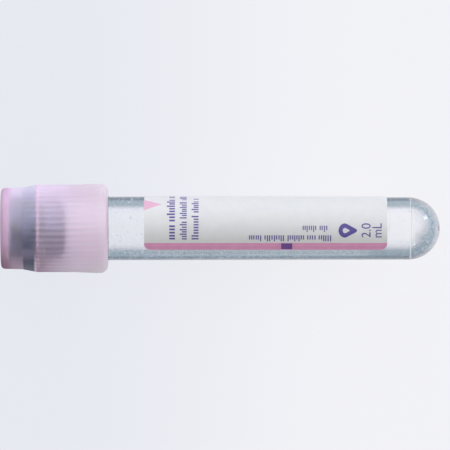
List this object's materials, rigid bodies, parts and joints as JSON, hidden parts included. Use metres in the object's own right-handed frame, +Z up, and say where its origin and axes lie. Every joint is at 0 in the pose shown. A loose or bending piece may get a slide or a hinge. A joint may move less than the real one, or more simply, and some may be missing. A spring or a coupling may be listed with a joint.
{
  "type": "blood collection tube",
  "caption": "Clear round-bottomed blood collection tube with a wrapped label, closed by a rubber stopper inside a ribbed translucent safety shield that twists and pulls off.",
  "frame": {"origin": "on the surface that the tube lies on, under the middle of its bounding box", "axes": "+X along the lying tube, from the closure to the round bottom; +Y across it, towards the top edge of the printed side seen from above; +Z up. The tube's own axis falls by 2.47 degrees towards +X, because it rests on the shield's lip and on the round bottom"},
  "size_m": [0.0822, 0.0166, 0.017],
  "materials": {
    "clear_pet": "clear moulded polyester, polished",
    "label_film": "satin coated label stock with a pink edge stripe",
    "butyl_rubber": "matt moulded rubber",
    "shield_plastic": "frosted translucent moulded plastic"
  },
  "bodies": {
    "tube": {"tube": "clear_pet", "label": "label_film"},
    "stopper": {"stopper": "butyl_rubber"},
    "shield": {"shield": "shield_plastic"}
  },
  "joints": [
    {"name": "closure_pull", "type": "slide", "parent": "tube", "child": "stopper", "axis": [-0.9991, 0, 0.0431], "range_m": [0, 0.02]},
    {"name": "shield_twist", "type": "hinge", "parent": "stopper", "child": "shield", "pos_m": [-0.03083, 0, 0.0087], "axis": [-0.9991, 0, 0.0431], "continuous": true}
  ]
}
